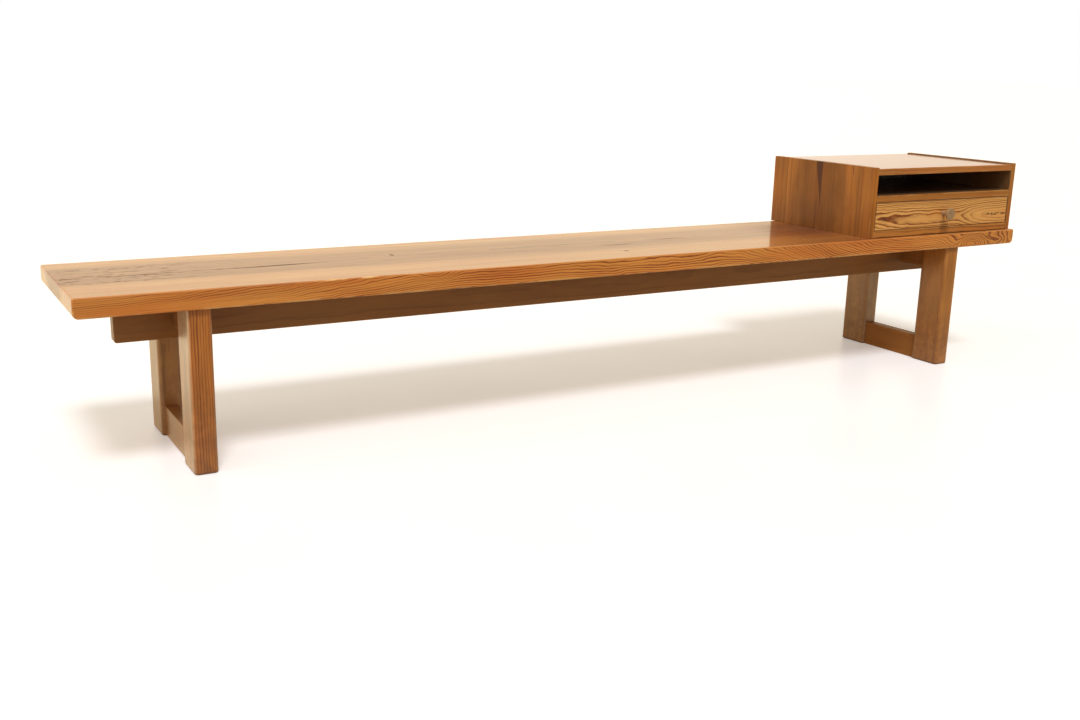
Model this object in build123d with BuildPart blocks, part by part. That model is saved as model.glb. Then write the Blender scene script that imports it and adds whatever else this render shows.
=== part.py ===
from build123d import *
import os

# A long, low bench of solid pine: one wide plank as the seat, on two open leg frames that are
# tied together by one beam on edge. A small chest with an open shelf over one drawer stands
# on its right-hand end. X runs along the bench, Y from its front to its back, Z up, and the
# origin is on the floor under the middle of the seat. Every size is in millimetres.

# --- Driving dimensions -------------------------------------------------------------------

# Seat plank
seat_length = 2400
seat_depth = 370
seat_thickness = 38
seat_height = 355
end_top_round = 4              # rounding of the plank's ends, above and below
end_under_round = 11
long_edge_round = 3            # arrises along the front and the back

# Leg frames
post_width = 45                # along X
post_depth = 85                # along Y
post_end_inset = 195.5         # from the seat's end to a post's outer face
post_edge_inset = 9            # from the seat's front or back edge to a post
post_round = 8.5
foot_round = 4
rail_thickness = 28
bottom_rail_height = 63
top_rail_height = 63
rail_round = 2
tenon_thickness = 10
tenon_length = 35
tenon_shoulder = 8             # above and below each tenon
glue_gap = 0.1                 # between a joint's cheeks, where the glue is

# Spine beam, on edge under the middle of the seat
beam_thickness = 28
beam_height = 88
beam_end_inset = 95            # from the seat's end to the beam's end
beam_corner_round = 6
beam_round = 2
beam_screw_spacing = 600

# Frame screws, driven upwards from below
screw_head_diameter = 9
screw_head_height = 3
screw_diameter = 4.8
screw_grip = 30                # wood between the head and the joint
screw_bite = 20                # thread in the second piece
screw_shoulder_inset = 15      # from a post to the screw in its top rail
counterbore_gap = 0.5          # round a screw's head

# Chest
chest_width = 518
chest_depth = 367
chest_height = 175
chest_end_inset = 6            # from the seat's right end
chest_setback = 14             # behind the seat's front edge
board_thickness = 16
board_round = 0.8
side_lip = 3                   # how far the sides stand above the top board
base_lift = 1                  # the base board's height above the seat
drawer_opening = 72            # clear height over the base board
back_panel_thickness = 5
back_panel_recess = 1          # behind the sides' back edges
back_rebate_width = 8
back_panel_gap = 0.3
dowel_diameter = 8
dowel_in_side = 10
dowel_in_board = 22
dowel_count = 3
dowel_edge_inset = 40
hole_end_gap = 0.5             # beyond the end of a dowel or screw

# Panel pins of the chest's back and of the drawer's bottom
pin_diameter = 1.6
pin_head_diameter = 3.2
pin_head_height = 0.6
pin_head_round = 0.2
pin_point_radius = 0.2
back_pin_length = 16
back_pin_count = 5             # along the top board, the base board and the back's sides
bottom_pin_length = 14
bottom_pin_count = 4
bottom_pin_inset = 40          # from the drawer's sides

# Drawer
drawer_gap = 1                 # round the inset front
drawer_end_clearance = 16      # between the closed drawer and the chest's back panel
drawer_front_thickness = 16
drawer_side_thickness = 13
drawer_side_lift = 3           # above the drawer front's lower edge
drawer_side_drop = 9           # below the drawer front's upper edge
drawer_back_thickness = 12
drawer_back_inset = 8          # from the back ends of the drawer's sides
dado_depth = 4
bottom_thickness = 4
bottom_lift = 6                # above the lower edges of the drawer's sides
bottom_groove_depth = 5
panel_gap = 0.2
tail_length = 11
tail_tip_width = 20
tail_root_width = 15
tail_count = 2

# Drawer runners, screwed to the chest's sides
runner_height = 12
runner_end_clearance = 25      # between a runner and the chest's back panel
runner_engagement = 6          # how far a runner reaches into its groove
runner_setback = 30            # behind the drawer front
running_gap = 0.3
groove_bottom_gap = 0.5
runner_screw_head_diameter = 6
runner_screw_head_height = 2
runner_screw_diameter = 3
runner_screw_bite = 9
runner_screw_inset = 40

# Knob
knob_reach = 25                # from the drawer front to the knob's face
knob_diameter = 30
knob_disc_thickness = 5.5
knob_edge_round = 1.2
knob_waist = 1.2               # how far the stem's side is hollowed
knob_foot_diameter = 14
knob_neck_diameter = 9
knob_screw_diameter = 4
knob_screw_head_diameter = 8
knob_screw_head_height = 2.4
knob_screw_bite = 12

fit_gap = 0.05                 # round dowels, pins and screws
point_length = 4
point_radius = 0.3
slot_width = 1
slot_depth = 1

# --- Places worked out from them ----------------------------------------------------------

seat_under = seat_height - seat_thickness
seat_front = -seat_depth / 2
frame_x = seat_length / 2 - post_end_inset - post_width / 2
frame_places = {"left": -frame_x, "right": frame_x}

post_y = seat_depth / 2 - post_edge_inset - post_depth / 2
post_inner_y = post_y - post_depth / 2
lap_z = seat_under - top_rail_height / 2
screw_length = screw_grip + screw_bite
rail_screw_y = post_inner_y - screw_shoulder_inset
head_radius = screw_head_diameter / 2 + counterbore_gap
shank_radius = screw_diameter / 2 + fit_gap

rail_screw_places = [(x, y) for x in frame_places.values() for y in (-rail_screw_y, rail_screw_y)]
beam_screw_places = [(step * beam_screw_spacing, 0) for step in (-1, 0, 1)]
lap_screw_places = [(x, 0) for x in frame_places.values()]

chest_x = seat_length / 2 - chest_end_inset - chest_width / 2
chest_front = seat_front + chest_setback
chest_back = chest_front + chest_depth
inner_width = chest_width - 2 * board_thickness
rebate_depth = back_panel_thickness + back_panel_recess
rebate_y = chest_back - rebate_depth
base_z = seat_height + base_lift
drawer_floor = base_z + board_thickness
divider_z = drawer_floor + drawer_opening
top_z = seat_height + chest_height - side_lip - board_thickness
rebate_top = top_z + back_rebate_width
board_heights = (base_z, divider_z, top_z)
board_depth = rebate_y - chest_front
dowel_spacing = (board_depth - 2 * dowel_edge_inset) / (dowel_count - 1)
dowel_ys = [chest_front + dowel_edge_inset + step * dowel_spacing for step in range(dowel_count)]

front_width = inner_width - 2 * drawer_gap
front_height = drawer_opening - 2 * drawer_gap
front_z = drawer_floor + drawer_gap
front_back_y = chest_front + drawer_front_thickness
drawer_end = rebate_y - drawer_end_clearance
drawer_side_z = front_z + drawer_side_lift
drawer_side_height = front_height - drawer_side_lift - drawer_side_drop
drawer_side_top = drawer_side_z + drawer_side_height
drawer_back_y = drawer_end - drawer_back_inset - drawer_back_thickness
bottom_z = drawer_side_z + bottom_lift
bottom_top = bottom_z + bottom_thickness
drawer_inner_width = front_width - 2 * drawer_side_thickness
bottom_width = drawer_inner_width + 2 * (bottom_groove_depth - panel_gap)
bottom_front_y = front_back_y - bottom_groove_depth + panel_gap
bottom_back_y = drawer_back_y + drawer_back_thickness

runner_z = front_z + front_height / 2
runner_front_y = front_back_y + runner_setback
runner_length = rebate_y - runner_end_clearance - runner_front_y
runner_thickness = drawer_gap + runner_engagement
runner_screw_length = runner_thickness - runner_screw_head_height - fit_gap + runner_screw_bite
runner_screw_ys = (
    runner_front_y + runner_screw_inset,
    runner_front_y + runner_length - runner_screw_inset,
)

low = (Align.CENTER, Align.CENTER, Align.MIN)
high = (Align.CENTER, Align.CENTER, Align.MAX)


def save(piece, name):
    """Name a finished piece and write it to its own STEP file."""
    piece.part.label = name
    export_step(piece.part, f"parts/{name}.step")


def screw(head_diameter, head_height, diameter, length):
    """A slotted screw along +Z, with the underside of its head at the origin."""
    with BuildPart() as blank:
        Cylinder(head_diameter / 2, head_height, align=high)
        Cylinder(diameter / 2, length - point_length, align=low)
        with Locations((0, 0, length - point_length)):
            Cone(diameter / 2, point_radius, point_length, align=low)
        with Locations((0, 0, -head_height)):
            Box(head_diameter, slot_width, slot_depth, align=low, mode=Mode.SUBTRACT)
    return blank.part


def pin(length):
    """A round-headed panel pin along +Z, with the underside of its head at the origin."""
    with BuildPart() as blank:
        Cylinder(pin_head_diameter / 2, pin_head_height, align=high)
        fillet(blank.edges().sort_by(Axis.Z)[0], pin_head_round)
        Cylinder(pin_diameter / 2, length - pin_diameter, align=low)
        with Locations((0, 0, length - pin_diameter)):
            Cone(pin_diameter / 2, pin_point_radius, pin_diameter, align=low)
    return blank.part


os.makedirs("parts", exist_ok=True)

# --- Seat ---------------------------------------------------------------------------------

with BuildPart() as seat_plank:
    with BuildSketch(Plane.XZ) as end_profile:
        with Locations((0, seat_height - seat_thickness / 2)):
            Rectangle(seat_length, seat_thickness)
        fillet(end_profile.vertices().group_by(Axis.Y)[-1], end_top_round)
        fillet(end_profile.vertices().group_by(Axis.Y)[0], end_under_round)
    extrude(amount=seat_depth / 2, both=True)
    fillet(seat_plank.faces().sort_by(Axis.Y)[0].edges(), long_edge_round)
    fillet(seat_plank.faces().sort_by(Axis.Y)[-1].edges(), long_edge_round)
    with Locations(Plane.XY.offset(seat_under)):
        with Locations(*rail_screw_places, *beam_screw_places):
            Cylinder(shank_radius, screw_bite + fit_gap, align=low, mode=Mode.SUBTRACT)
save(seat_plank, "seat_plank")

# --- Leg frames ---------------------------------------------------------------------------

rail_span = 2 * post_inner_y
mortise_width = tenon_thickness + 2 * glue_gap
mortise_depth = tenon_length + glue_gap
rail_levels = ((0, bottom_rail_height), (seat_under - top_rail_height, top_rail_height))
for side, x in frame_places.items():
    for place, inward in (("front", 1), ("back", -1)):
        mortise_y = -inward * (post_inner_y + mortise_depth / 2)
        with BuildPart() as post:
            with Locations((x, -inward * post_y)):
                Box(post_width, post_depth, seat_under, align=low)
            fillet(post.edges().filter_by(Axis.Z), post_round)
            fillet(post.faces().sort_by(Axis.Z)[0].edges(), foot_round)
            for rail_z, rail_height in rail_levels:
                mortise_height = rail_height - 2 * (tenon_shoulder - glue_gap)
                with Locations((x, mortise_y, rail_z + rail_height / 2)):
                    Box(mortise_width, mortise_depth, mortise_height, mode=Mode.SUBTRACT)
        save(post, f"{side}_{place}_post")

    tenon_span = rail_span + 2 * tenon_length
    with BuildPart() as bottom_rail:
        with Locations((x, 0, bottom_rail_height / 2)):
            Box(rail_thickness, rail_span, bottom_rail_height)
            fillet(bottom_rail.edges().filter_by(Axis.Y), rail_round)
            Box(tenon_thickness, tenon_span, bottom_rail_height - 2 * tenon_shoulder)
    save(bottom_rail, f"{side}_bottom_rail")

    with BuildPart() as top_rail:
        with Locations((x, 0, lap_z)):
            Box(rail_thickness, rail_span, top_rail_height)
            fillet(top_rail.edges().filter_by(Axis.Y).group_by(Axis.Z)[0], rail_round)
            Box(tenon_thickness, tenon_span, top_rail_height - 2 * tenon_shoulder)
            # The lower half is cut away where the beam crosses
            lap_width = beam_thickness + 2 * glue_gap
            Box(rail_thickness, lap_width, top_rail_height / 2, align=high, mode=Mode.SUBTRACT)
        with Locations((x, -rail_screw_y, 0), (x, rail_screw_y, 0)):
            Cylinder(head_radius, seat_under - screw_grip, align=low, mode=Mode.SUBTRACT)
            Cylinder(shank_radius, seat_under, align=low, mode=Mode.SUBTRACT)
        with Locations((x, 0, lap_z)):
            Cylinder(shank_radius, screw_bite + fit_gap, align=low, mode=Mode.SUBTRACT)
    save(top_rail, f"{side}_top_rail")

with BuildPart() as spine_beam:
    with BuildSketch(Plane.XZ) as beam_profile:
        with Locations((0, seat_under - beam_height / 2)):
            Rectangle(seat_length - 2 * beam_end_inset, beam_height)
        fillet(beam_profile.vertices().group_by(Axis.Y)[0], beam_corner_round)
    extrude(amount=beam_thickness / 2, both=True)
    fillet(spine_beam.edges().filter_by(Axis.X).group_by(Axis.Z)[0], beam_round)
    # The upper half is cut away where each top rail crosses
    with Locations(*[(x, y, lap_z) for x, y in lap_screw_places]):
        lap_width = rail_thickness + 2 * glue_gap
        Box(lap_width, beam_thickness, top_rail_height / 2, align=low, mode=Mode.SUBTRACT)
    with Locations(*[(x, y, 0) for x, y in beam_screw_places]):
        Cylinder(head_radius, seat_under - screw_grip, align=low, mode=Mode.SUBTRACT)
        Cylinder(shank_radius, seat_under, align=low, mode=Mode.SUBTRACT)
    with Locations(*[(x, y, 0) for x, y in lap_screw_places]):
        Cylinder(head_radius, lap_z - screw_grip, align=low, mode=Mode.SUBTRACT)
        Cylinder(shank_radius, lap_z, align=low, mode=Mode.SUBTRACT)
save(spine_beam, "spine_beam")

frame_screw = screw(screw_head_diameter, screw_head_height, screw_diameter, screw_length)

with BuildPart() as seat_screws:
    with Locations(Plane.XY.offset(seat_under - screw_grip)):
        with Locations(*rail_screw_places, *beam_screw_places):
            add(frame_screw)
save(seat_screws, "seat_screws")

with BuildPart() as lap_screws:
    with Locations(Plane.XY.offset(lap_z - screw_grip)):
        with Locations(*lap_screw_places):
            add(frame_screw)
save(lap_screws, "lap_screws")

# --- Chest --------------------------------------------------------------------------------

dowel_radius = dowel_diameter / 2
dowel_hole = dowel_radius + fit_gap
runner_shank_radius = runner_screw_diameter / 2 + fit_gap
pin_hole = pin_diameter / 2 + fit_gap
panel_width = inner_width + 2 * (back_rebate_width - back_panel_gap)
panel_height = rebate_top - back_panel_gap - base_z
pin_x = inner_width / 2 + back_rebate_width / 2
pin_xs = [chest_x - pin_x + step * 2 * pin_x / (back_pin_count - 1) for step in range(back_pin_count)]
pin_low = base_z + board_thickness / 2
pin_high = top_z + back_rebate_width / 2
back_pin_places = [(x, pin_low) for x in pin_xs] + [(x, pin_high) for x in pin_xs]
back_pin_places += [(x, (pin_low + pin_high) / 2) for x in (pin_xs[0], pin_xs[-1])]
back_pin_planes = [
    Plane(origin=(x, rebate_y + back_panel_thickness, z), z_dir=(0, -1, 0)) for x, z in back_pin_places
]

for side, outward in (("left", -1), ("right", 1)):
    inner_face = chest_x + outward * inner_width / 2
    side_x = inner_face + outward * board_thickness / 2
    rebate_height = rebate_top - seat_height
    with BuildPart() as chest_side:
        with Locations((side_x, chest_front + chest_depth / 2, seat_height)):
            Box(board_thickness, chest_depth, chest_height, align=low)
        fillet(chest_side.edges(), board_round)
        with Locations((inner_face, chest_back, seat_height)):
            Box(2 * back_rebate_width, 2 * rebate_depth, rebate_height, align=low, mode=Mode.SUBTRACT)
        for board_z in board_heights:
            for dowel_y in dowel_ys:
                mouth = (inner_face, dowel_y, board_z + board_thickness / 2)
                with Locations(Plane(origin=mouth, z_dir=(outward, 0, 0))):
                    Cylinder(dowel_hole, dowel_in_side + hole_end_gap, align=low, mode=Mode.SUBTRACT)
        for screw_y in runner_screw_ys:
            with Locations(Plane(origin=(inner_face, screw_y, runner_z), z_dir=(outward, 0, 0))):
                hole_depth = runner_screw_bite + hole_end_gap
                Cylinder(runner_shank_radius, hole_depth, align=low, mode=Mode.SUBTRACT)
        with Locations(*back_pin_planes):
            Cylinder(pin_hole, back_pin_length + fit_gap, align=low, mode=Mode.SUBTRACT)
    save(chest_side, f"chest_side_{side}")

chest_boards = {
    "base": (base_z, board_depth),
    "divider": (divider_z, board_depth),
    "top": (top_z, chest_depth),
}
for place, (board_z, depth) in chest_boards.items():
    with BuildPart() as chest_board:
        with Locations((chest_x, chest_front + depth / 2, board_z)):
            Box(inner_width, depth, board_thickness, align=low)
        fillet(chest_board.edges().filter_by(Axis.X), board_round)
        if place == "top":
            with Locations((chest_x, chest_back, top_z)):
                Box(inner_width, 2 * rebate_depth, 2 * back_rebate_width, mode=Mode.SUBTRACT)
        for outward in (-1, 1):
            for dowel_y in dowel_ys:
                board_end = chest_x + outward * inner_width / 2
                mouth = (board_end, dowel_y, board_z + board_thickness / 2)
                with Locations(Plane(origin=mouth, z_dir=(-outward, 0, 0))):
                    Cylinder(dowel_hole, dowel_in_board + hole_end_gap, align=low, mode=Mode.SUBTRACT)
        with Locations(*back_pin_planes):
            Cylinder(pin_hole, back_pin_length + fit_gap, align=low, mode=Mode.SUBTRACT)
    save(chest_board, f"chest_{place}")

with BuildPart() as chest_back_panel:
    with Locations((chest_x, rebate_y + back_panel_thickness / 2, base_z)):
        Box(panel_width, back_panel_thickness, panel_height, align=low)
    with Locations(*back_pin_planes):
        Cylinder(pin_hole, back_pin_length, align=low, mode=Mode.SUBTRACT)
save(chest_back_panel, "chest_back")

with BuildPart() as chest_dowels:
    for outward in (-1, 1):
        for board_z in board_heights:
            for dowel_y in dowel_ys:
                dowel_start = chest_x + outward * (inner_width / 2 - dowel_in_board)
                inner_end = (dowel_start, dowel_y, board_z + board_thickness / 2)
                with Locations(Plane(origin=inner_end, z_dir=(outward, 0, 0))):
                    Cylinder(dowel_radius, dowel_in_board + dowel_in_side, align=low)
save(chest_dowels, "chest_dowels")

with BuildPart() as back_pins:
    with Locations(*back_pin_planes):
        add(pin(back_pin_length))
save(back_pins, "back_pins")

# --- Drawer runners -----------------------------------------------------------------------

runner_head_radius = runner_screw_head_diameter / 2 + fit_gap
runner_screw = screw(
    runner_screw_head_diameter, runner_screw_head_height, runner_screw_diameter, runner_screw_length
)
runner_screw_planes = {}
for side, outward in (("left", -1), ("right", 1)):
    inner_face = chest_x + outward * inner_width / 2
    runner_x = inner_face - outward * runner_thickness / 2
    head_x = inner_face - outward * (runner_screw_length - runner_screw_bite)
    runner_screw_planes[side] = [
        Plane(origin=(head_x, y, runner_z), z_dir=(outward, 0, 0)) for y in runner_screw_ys
    ]
    with BuildPart() as drawer_runner:
        with Locations((runner_x, runner_front_y + runner_length / 2, runner_z)):
            Box(runner_thickness, runner_length, runner_height)
        with Locations(*runner_screw_planes[side]):
            Cylinder(runner_head_radius, runner_thickness, align=high, mode=Mode.SUBTRACT)
            Cylinder(runner_shank_radius, runner_thickness, align=low, mode=Mode.SUBTRACT)
    save(drawer_runner, f"drawer_runner_{side}")

with BuildPart() as runner_screws:
    with Locations(*runner_screw_planes["left"], *runner_screw_planes["right"]):
        add(runner_screw)
save(runner_screws, "runner_screws")

# --- Drawer -------------------------------------------------------------------------------

tail_spacing = drawer_side_height / tail_count
tail_heights = [drawer_side_z + (step + 1 / 2) * tail_spacing for step in range(tail_count)]


def tails(plane, gap):
    """The dovetails' outline on a plane across the drawer, grown by a gap for their sockets."""
    with BuildSketch(plane) as outline:
        for height in tail_heights:
            root = tail_root_width / 2 + gap
            tip = tail_tip_width / 2 + gap
            with BuildLine():
                Polyline(
                    (front_back_y, height - root),
                    (front_back_y, height + root),
                    (front_back_y - tail_length - gap, height + tip),
                    (front_back_y - tail_length - gap, height - tip),
                    close=True,
                )
            make_face()
    return outline.sketch


bottom_groove_height = bottom_thickness + 2 * panel_gap
side_length = drawer_end - front_back_y
knob_shank_radius = knob_screw_diameter / 2 + fit_gap
knob_plane = Plane(origin=(chest_x, chest_front, runner_z), x_dir=(1, 0, 0), z_dir=(0, 0, -1))
knob_axis = Axis((chest_x, chest_front, runner_z), (0, -1, 0))
knob_hole = Plane(origin=(chest_x, front_back_y, runner_z), z_dir=(0, -1, 0))

with BuildPart() as drawer_front:
    with Locations((chest_x, chest_front + drawer_front_thickness / 2, front_z)):
        Box(front_width, drawer_front_thickness, front_height, align=low)
    fillet(drawer_front.edges(), board_round)
    for outward in (-1, 1):
        end_plane = Plane.YZ.offset(chest_x + outward * front_width / 2)
        socket_depth = drawer_side_thickness + glue_gap
        extrude(tails(end_plane, glue_gap), amount=-outward * socket_depth, mode=Mode.SUBTRACT)
    with Locations((chest_x, front_back_y, bottom_z - panel_gap)):
        groove_width = bottom_width + 2 * panel_gap
        Box(groove_width, 2 * bottom_groove_depth, bottom_groove_height, align=low, mode=Mode.SUBTRACT)
    with Locations(knob_hole):
        Cylinder(knob_shank_radius, drawer_front_thickness, align=low, mode=Mode.SUBTRACT)
save(drawer_front, "drawer_front")

for side, outward in (("left", -1), ("right", 1)):
    outer_face = chest_x + outward * front_width / 2
    inner_face = outer_face - outward * drawer_side_thickness
    with BuildPart() as drawer_side:
        with Locations(((outer_face + inner_face) / 2, front_back_y + side_length / 2, drawer_side_z)):
            Box(drawer_side_thickness, side_length, drawer_side_height, align=low)
        fillet(drawer_side.edges().filter_by(Axis.Y).group_by(Axis.Z)[-1], board_round)
        extrude(tails(Plane.YZ.offset(outer_face), 0), amount=-outward * drawer_side_thickness)
        # Groove for the runner, stopped behind the drawer front
        groove_start = runner_front_y - running_gap
        groove_length = drawer_end - groove_start
        with Locations((outer_face, groove_start + groove_length / 2, runner_z)):
            groove_width = 2 * (runner_engagement + groove_bottom_gap)
            Box(groove_width, groove_length, runner_height + 2 * running_gap, mode=Mode.SUBTRACT)
        # Groove for the bottom, right through from the tails' tips
        with Locations((inner_face, front_back_y + side_length / 2, bottom_z - panel_gap)):
            groove_length = side_length + 2 * tail_length
            Box(2 * bottom_groove_depth, groove_length, bottom_groove_height, align=low, mode=Mode.SUBTRACT)
        # Housing for the drawer's back
        with Locations((inner_face, drawer_back_y + drawer_back_thickness / 2, bottom_top)):
            dado_width = drawer_back_thickness + 2 * glue_gap
            Box(2 * dado_depth, dado_width, drawer_side_height, align=low, mode=Mode.SUBTRACT)
    save(drawer_side, f"drawer_side_{side}")

drawer_back_middle = drawer_back_y + drawer_back_thickness / 2
bottom_pin_reach = drawer_inner_width - 2 * bottom_pin_inset
bottom_pin_xs = [
    chest_x + bottom_pin_reach * (step / (bottom_pin_count - 1) - 1 / 2) for step in range(bottom_pin_count)
]
bottom_pin_places = [(x, drawer_back_middle, bottom_z) for x in bottom_pin_xs]

with BuildPart() as drawer_back:
    with Locations((chest_x, drawer_back_middle, bottom_top)):
        back_width = drawer_inner_width + 2 * (dado_depth - glue_gap)
        Box(back_width, drawer_back_thickness, drawer_side_top - bottom_top, align=low)
    fillet(drawer_back.edges().filter_by(Axis.X).group_by(Axis.Z)[-1], board_round)
    with Locations(*bottom_pin_places):
        Cylinder(pin_hole, bottom_pin_length + fit_gap, align=low, mode=Mode.SUBTRACT)
save(drawer_back, "drawer_back")

with BuildPart() as drawer_bottom:
    with Locations((chest_x, (bottom_front_y + bottom_back_y) / 2, bottom_z)):
        Box(bottom_width, bottom_back_y - bottom_front_y, bottom_thickness, align=low)
    with Locations(*bottom_pin_places):
        Cylinder(pin_hole, bottom_thickness, align=low, mode=Mode.SUBTRACT)
save(drawer_bottom, "drawer_bottom")

with BuildPart() as bottom_pins:
    with Locations(*bottom_pin_places):
        add(pin(bottom_pin_length))
save(bottom_pins, "bottom_pins")

# --- Knob ---------------------------------------------------------------------------------

disc_under = knob_reach - knob_disc_thickness
with BuildPart() as drawer_knob:
    with BuildSketch(knob_plane) as knob_profile:
        with BuildLine():
            Polyline(
                (knob_foot_diameter / 2, 0),
                (0, 0),
                (0, knob_reach),
                (knob_diameter / 2, knob_reach),
                (knob_diameter / 2, disc_under),
                (knob_neck_diameter / 2, disc_under),
            )
            SagittaArc(
                (knob_neck_diameter / 2, disc_under), (knob_foot_diameter / 2, 0), -knob_waist
            )
        make_face()
        fillet(knob_profile.vertices().group_by(Axis.X)[-1], knob_edge_round)
    revolve(axis=knob_axis)
    with Locations(knob_hole.offset(drawer_front_thickness)):
        Cylinder(knob_shank_radius, knob_screw_bite + fit_gap, align=low, mode=Mode.SUBTRACT)
save(drawer_knob, "drawer_knob")

knob_screw_length = drawer_front_thickness + knob_screw_bite
with BuildPart() as knob_screw:
    with Locations(knob_hole):
        add(screw(knob_screw_head_diameter, knob_screw_head_height, knob_screw_diameter, knob_screw_length))
save(knob_screw, "knob_screw")

print(len(os.listdir("parts")), "pieces written to parts/")
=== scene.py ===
# %% [markdown]
# # A long low pine bench with a small drawer chest
#
# The real bench is solid, resinous softwood under clear lacquer: a wide plank on two open leg frames, a
# beam on edge below it, and a small chest standing on its right-hand end. All the pieces come from the
# packed model as they are. This file gives them their wood, lacquer and metal, and sets up the studio.

# %% Load the packed model
import math

import bpy
from mathutils import Matrix, Vector


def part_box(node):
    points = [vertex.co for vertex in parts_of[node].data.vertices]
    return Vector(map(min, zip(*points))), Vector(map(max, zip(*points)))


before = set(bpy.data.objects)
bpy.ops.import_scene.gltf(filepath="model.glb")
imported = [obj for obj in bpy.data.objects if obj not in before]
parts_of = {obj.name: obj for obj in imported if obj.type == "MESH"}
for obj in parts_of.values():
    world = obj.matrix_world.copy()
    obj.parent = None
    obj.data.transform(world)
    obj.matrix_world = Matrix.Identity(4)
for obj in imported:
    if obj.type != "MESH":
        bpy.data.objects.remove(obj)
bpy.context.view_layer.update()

# %% [markdown]
# ## The camera
#
# A camera could be aimed by eye, or by a Track To constraint. Here its place and its three turns are
# known as numbers, so its axes are worked out from them and written straight into its matrix, which
# keeps the small sideways lean that a constraint would level out.

# %% Camera
eye = Vector((-1.4961, -2.2837, 0.7689))
heading = math.radians(30.260)
downward = math.radians(14.337)
lean = math.radians(1.378)
lens_mm = 39.185
film_width_mm = 36

ahead = Vector((
    math.sin(heading) * math.cos(downward),
    math.cos(heading) * math.cos(downward),
    -math.sin(downward),
))
level_right = Vector((math.cos(heading), -math.sin(heading), 0))
level_up = level_right.cross(ahead)
camera_right = level_right * math.cos(lean) + level_up * math.sin(lean)
camera_up = level_up * math.cos(lean) - level_right * math.sin(lean)

camera_data = bpy.data.cameras.new("camera")
camera_data.lens = lens_mm
camera_data.sensor_fit = "HORIZONTAL"
camera_data.sensor_width = film_width_mm
camera = bpy.data.objects.new("camera", camera_data)
turn = Matrix((camera_right, camera_up, -ahead)).transposed().to_4x4()
camera.matrix_world = Matrix.Translation(eye) @ turn
bpy.context.scene.collection.objects.link(camera)
bpy.context.scene.camera = camera
bpy.context.scene.view_settings.view_transform = "Standard"
print("camera looks along", [round(part, 3) for part in ahead])

# %% [markdown]
# ## Writing shader maths as sums
#
# A node tree is a sum of small steps, and placing each Math node by hand hides the sum. The class below
# wraps one socket. Plus, minus, times and so on between two of them add the Math node and hand back its
# result, so a mask can be written as `1 - mask`. Every other node comes from one method, which takes the
# node's type, its settings, and the values or wires of its sockets.


# %% A wire in a shader tree
class Wire:
    """One socket of a node tree. Arithmetic on it adds Math nodes."""

    def __init__(self, tree, socket=None):
        self.tree = tree
        self.socket = socket

    def node(self, kind, settings, sockets, output=0):
        """Adds a node: its settings first, then a value or a wire for each socket."""
        made = self.tree.nodes.new(kind)
        for name, value in settings.items():
            if name == "stops":
                self.set_stops(made.color_ramp, value)
            else:
                setattr(made, name, value)
        for name, value in sockets.items():
            if isinstance(value, Wire):
                self.tree.links.new(value.socket, made.inputs[name])
            else:
                made.inputs[name].default_value = value
        return Wire(self.tree, made.outputs[output] if made.outputs else None)

    @staticmethod
    def set_stops(ramp, stops):
        """Gives a colour ramp its stops, as (place, shade of grey) pairs."""
        while len(ramp.elements) < len(stops):
            ramp.elements.new(1.0)
        for element, (place, shade) in zip(ramp.elements, stops):
            element.position = place
            element.color = (shade, shade, shade, 1)

    def beside(self, output):
        """Another output of the node that this wire comes from."""
        return Wire(self.tree, self.socket.node.outputs[output])

    def part(self, index):
        """One number of a vector: 0, 1 or 2."""
        return self.node("ShaderNodeSeparateXYZ", {}, {0: self}, index)

    def math(self, operation, *values):
        """A Math node on the given numbers and wires."""
        return self.node("ShaderNodeMath", {"operation": operation}, dict(enumerate(values)))

    def vector(self, operation, *values, output=0):
        """A Vector Math node on this wire and the given ones. Output 1 is its plain number."""
        sockets = dict(enumerate((self, *values)))
        return self.node("ShaderNodeVectorMath", {"operation": operation}, sockets, output)

    def __add__(self, other):
        return self.math("ADD", self, other)

    def __sub__(self, other):
        return self.math("SUBTRACT", self, other)

    def __rsub__(self, other):
        return self.math("SUBTRACT", other, self)

    def __mul__(self, other):
        return self.math("MULTIPLY", self, other)

    def __truediv__(self, other):
        return self.math("DIVIDE", self, other)

    def __rtruediv__(self, other):
        return self.math("DIVIDE", other, self)

    __radd__ = __add__
    __rmul__ = __mul__


def empty_tree(owner):
    """Clears the node tree of a material or a world, and hands back a wire to start from."""
    owner.use_nodes = True
    owner.node_tree.nodes.clear()
    return Wire(owner.node_tree)


print("a wire can", sorted(name for name in vars(Wire) if not name.startswith("_")))


# %% Masks: numbers that run from 0 to 1 over a surface
def rise(value, low, high, bottom=0.0, top=1.0):
    """Eases from bottom to top as value goes from low to high."""
    sockets = {0: value, 1: low, 2: high, 3: bottom, 4: top}
    return value.node("ShaderNodeMapRange", {"interpolation_type": "SMOOTHSTEP"}, sockets)


def stripe(value, middle, half):
    """One where value is at the middle, easing to nothing at half the width away."""
    away = value.math("ABSOLUTE", value - middle)
    return rise(away, half * 0.3, half, 1.0, 0.0)


def near(spot, centre, reach):
    """One at a point of the piece, easing to nothing at its reach along X, Y and Z."""
    away = spot.vector("SUBTRACT", centre).vector("DIVIDE", reach).vector("LENGTH", output=1)
    return rise(away, 0.0, 1.0, 1.0, 0.0)


print("a quarter of the way up, a mask has reached", 0.25 ** 2 * (3 - 2 * 0.25))


# %% Colours
def paint(red, green, blue):
    """A colour as the screen shows it, 0 to 255, turned into the light it stands for."""
    shares = [value / 255 for value in (red, green, blue)]
    light = [share / 12.92 if share < 0.04045 else ((share + 0.055) / 1.055) ** 2.4 for share in shares]
    return (*light, 1)


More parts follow.
